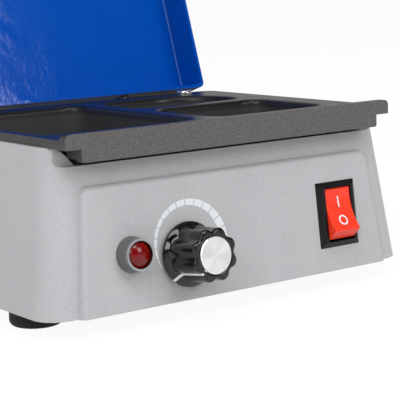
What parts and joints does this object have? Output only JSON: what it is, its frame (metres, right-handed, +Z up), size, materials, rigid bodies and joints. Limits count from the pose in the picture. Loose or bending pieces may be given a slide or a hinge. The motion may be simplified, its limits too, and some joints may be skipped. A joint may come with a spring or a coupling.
{
  "type": "dental wax heater",
  "caption": "Benchtop dental wax heater: a leaning grey housing with a lamp, knob and rocker switch, a black cast tray of wells and a hinged blue lid.",
  "frame": {"origin": "on the surface it stands on, under the middle of the whole object with the lid open", "axes": "+X to the right and +Y to the back as seen from the control panel, +Z up"},
  "size_m": [0.1328, 0.1532, 0.146],
  "materials": {
    "grey_enamel": "satin speckled",
    "black_coated_cast": "satin non-stick",
    "blue_enamel": "glossy",
    "black_rubber": "matte",
    "zinc_steel": "plated",
    "chromed": "polished",
    "knob_plastic": "glossy",
    "spun_aluminium": "spun",
    "red_lens": "glossy",
    "red_plastic": "glossy",
    "black_plastic": "satin",
    "brass": "plain",
    "mica": "matte",
    "mineral_pad": "matte",
    "copper_tube": "plain",
    "wire_sheath": "satin"
  },
  "bodies": {
    "base": {"housing": "grey_enamel", "base_plate": "zinc_steel", "base_screws": "zinc_steel", "tray": "black_coated_cast", "tray_screws": "chromed", "heating_element": "mica", "clamp_plate": "zinc_steel", "clamp_screws": "zinc_steel", "insulation_pad": "mineral_pad", "thermal_cutout": "black_plastic", "hinge_screws": "zinc_steel", "lamp_bezel": "chromed", "lamp_lens": "red_lens", "lamp_body": "black_plastic", "lamp_nut": "black_plastic", "thermostat_body": "black_plastic", "thermostat_neck": "brass", "thermostat_washer": "zinc_steel", "thermostat_nut": "brass", "sensor_bulb": "copper_tube", "sensor_clip": "zinc_steel", "capillary": "copper_tube", "switch_frame": "black_plastic", "switch_terminals": "brass", "power_inlet": "black_plastic", "inlet_pins": "brass", "inlet_screws": "zinc_steel", "inlet_nuts": "zinc_steel", "earth_screw": "brass", "earth_nut": "brass", "wires": "wire_sheath", "foot_front_left": "black_rubber", "foot_front_right": "black_rubber", "foot_back_left": "black_rubber", "foot_back_right": "black_rubber", "hinge_housing_leaf_left": "zinc_steel", "hinge_pin_left": "zinc_steel", "hinge_housing_leaf_right": "zinc_steel", "hinge_pin_right": "zinc_steel"},
    "lid": {"lid": "blue_enamel", "lid_rivets": "zinc_steel", "hinge_lid_leaf_left": "zinc_steel", "hinge_lid_leaf_right": "zinc_steel"},
    "knob": {"knob": "knob_plastic", "knob_bushing": "brass", "knob_set_screw": "zinc_steel", "knob_disc": "spun_aluminium", "control_shaft": "zinc_steel"},
    "rocker": {"switch_rocker": "red_plastic"}
  },
  "joints": [
    {"name": "lid_hinge", "type": "hinge", "parent": "base", "child": "lid", "pos_m": [0, 0.03322, 0.05518], "axis": [1, 0, 0], "range_deg": [0, 107.67]},
    {"name": "temperature_knob", "type": "hinge", "parent": "base", "child": "knob", "pos_m": [-0.02, -0.06191, 0.01906], "axis": [0, -0.9932, 0.1167], "range_deg": [-270, 0]},
    {"name": "power_rocker", "type": "hinge", "parent": "base", "child": "rocker", "pos_m": [0.0379, -0.05854, 0.02293], "axis": [1, 0, 0], "range_deg": [0, 30.2]}
  ]
}
